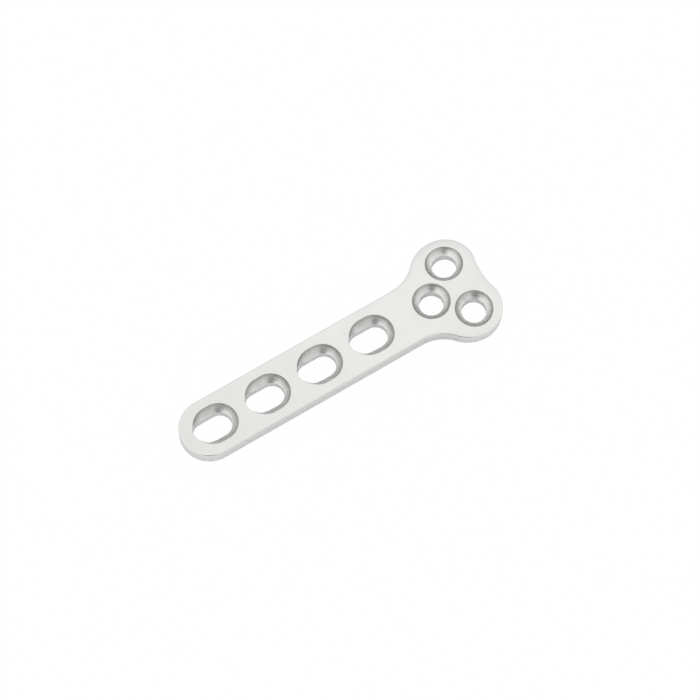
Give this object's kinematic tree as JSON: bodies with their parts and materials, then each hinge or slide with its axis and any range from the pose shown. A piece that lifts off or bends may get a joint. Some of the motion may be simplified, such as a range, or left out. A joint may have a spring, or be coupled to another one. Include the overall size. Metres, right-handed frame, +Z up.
{
  "type": "orthopedic bone plate",
  "caption": "One-piece metal bone plate: a straight shaft with slotted screw holes, round tip and a bowed cloverleaf head with countersunk holes.",
  "frame": {"origin": "midway along and across the plate, level with its lowest points, the lower side edges of the bowed head", "axes": "+X along the plate from the round tip to the head, +Y across it, +Z up, out of the face that the screws enter"},
  "size_m": [0.041, 0.0132, 0.0025],
  "materials": {
    "satin_steel": "fine satin, as tumbled or bead-blasted, with brighter machined screw seats and bores"
  },
  "bodies": {
    "root": {"bone_plate": "satin_steel"}
  },
  "joints": []
}
